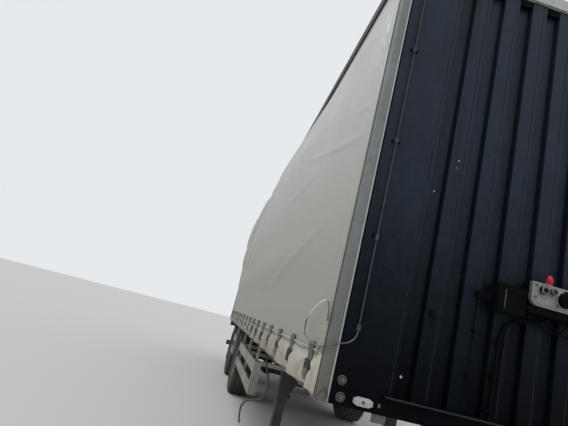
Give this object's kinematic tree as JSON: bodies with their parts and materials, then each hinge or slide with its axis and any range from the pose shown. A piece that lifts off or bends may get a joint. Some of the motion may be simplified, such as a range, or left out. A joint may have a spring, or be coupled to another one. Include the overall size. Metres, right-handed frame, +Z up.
{
  "type": "two-axle curtain-sided semi trailer",
  "caption": "Curtain-sided semi trailer on landing legs: grooved steel bulkhead, side curtains with buckled straps, rear doors, king pin, air-sprung axles and side guards.",
  "frame": {"origin": "on the ground below the middle of the trailer's box", "axes": "+X forward to the bulkhead, +Y to the trailer's left, +Z up"},
  "size_m": [10.9336, 2.6976, 3.9998],
  "materials": {
    "chassis_paint": "satin paint, dusty",
    "rave_paint": "satin paint",
    "king_pin_steel": "turned steel",
    "floor_plywood": "coated plywood",
    "bulkhead_paint": "satin paint, scuffed",
    "post_paint": "satin grey",
    "header_paint": "pale satin",
    "roof_tarpaulin": "coated cloth",
    "curtain_cloth": "coated cloth, grimy",
    "strap_webbing": "woven webbing",
    "bright_steel": "galvanised",
    "rear_frame_paint": "satin grey",
    "door_panel": "pale satin",
    "tyre_rubber": "dusty rubber",
    "wheel_steel": "grey paint, dusty",
    "spring_rubber": "matte",
    "mudguard_plastic": "matte",
    "guard_aluminium": "weathered",
    "tail_lamp_red": "clear red",
    "cast_aluminium": "cast",
    "black_plastic": "matte",
    "coupling_red": "bright red",
    "lamp_white": "milky lens",
    "cable_cover": "clear-coated steel cable",
    "dark_cable": "dark covered steel cable",
    "fitting_steel": "plain",
    "hose_rubber": "matte",
    "hose_end_teal": "matte"
  },
  "bodies": {
    "chassis": {"main_beams": "chassis_paint", "cross_members": "chassis_paint", "coupler_plate": "chassis_paint", "suspension_arms": "chassis_paint", "suspension_hangers": "chassis_paint", "landing_leg_housings": "chassis_paint", "landing_leg_feet": "chassis_paint", "landing_leg_shaft": "chassis_paint", "axles": "chassis_paint", "underrun_bar": "chassis_paint", "air_tanks": "chassis_paint", "brake_chambers": "chassis_paint", "side_raves": "rave_paint", "king_pin": "king_pin_steel", "floor_deck": "floor_plywood", "bulkhead_panel": "bulkhead_paint", "front_sill": "bulkhead_paint", "front_corner_posts": "post_paint", "side_posts": "post_paint", "front_header": "header_paint", "roof_rails": "header_paint", "roof_sheet": "roof_tarpaulin", "curtain_left": "curtain_cloth", "curtain_right": "curtain_cloth", "curtain_straps_left": "strap_webbing", "curtain_straps_right": "strap_webbing", "roof_bows": "bright_steel", "curtain_poles": "bright_steel", "rear_frame": "rear_frame_paint", "air_springs": "spring_rubber", "mudguards": "mudguard_plastic", "mud_flaps": "mudguard_plastic", "side_guards": "guard_aluminium", "tail_lamps": "tail_lamp_red", "connector_panel": "cast_aluminium", "connector_bracket": "black_plastic", "service_sockets": "black_plastic", "cable_conduit": "black_plastic", "hose_gland": "black_plastic", "air_couplings": "coupling_red", "marker_lamps": "lamp_white", "seal_cable_loop": "cable_cover", "seal_cables": "dark_cable", "seal_cable_end": "fitting_steel", "hanging_hose": "hose_rubber", "hose_end": "hose_end_teal"},
    "left_wheel_1": {"tyre_left_1": "tyre_rubber", "wheel_left_1": "wheel_steel"},
    "right_wheel_1": {"tyre_right_1": "tyre_rubber", "wheel_right_1": "wheel_steel"},
    "left_wheel_2": {"tyre_left_2": "tyre_rubber", "wheel_left_2": "wheel_steel"},
    "right_wheel_2": {"tyre_right_2": "tyre_rubber", "wheel_right_2": "wheel_steel"},
    "left_door": {"rear_door_left": "door_panel", "lock_gear_left": "bright_steel"},
    "right_door": {"rear_door_right": "door_panel", "lock_gear_right": "bright_steel"}
  },
  "joints": [
    {"name": "left_wheel_1_spin", "type": "hinge", "parent": "chassis", "child": "left_wheel_1", "pos_m": [-0.68325, 1.04, 0.536], "axis": [0, 1, 0], "continuous": true},
    {"name": "right_wheel_1_spin", "type": "hinge", "parent": "chassis", "child": "right_wheel_1", "pos_m": [-0.68325, -1.04, 0.536], "axis": [0, 1, 0], "continuous": true},
    {"name": "left_wheel_2_spin", "type": "hinge", "parent": "chassis", "child": "left_wheel_2", "pos_m": [-2.68325, 1.04, 0.536], "axis": [0, 1, 0], "continuous": true},
    {"name": "right_wheel_2_spin", "type": "hinge", "parent": "chassis", "child": "right_wheel_2", "pos_m": [-2.68325, -1.04, 0.536], "axis": [0, 1, 0], "continuous": true},
    {"name": "left_door_hinge", "type": "hinge", "parent": "chassis", "child": "left_door", "pos_m": [-5.42825, 1.262, 2.5], "axis": [0, 0, -1], "range_deg": [0, 250]},
    {"name": "right_door_hinge", "type": "hinge", "parent": "chassis", "child": "right_door", "pos_m": [-5.42825, -1.262, 2.5], "axis": [0, 0, 1], "range_deg": [0, 250]}
  ]
}
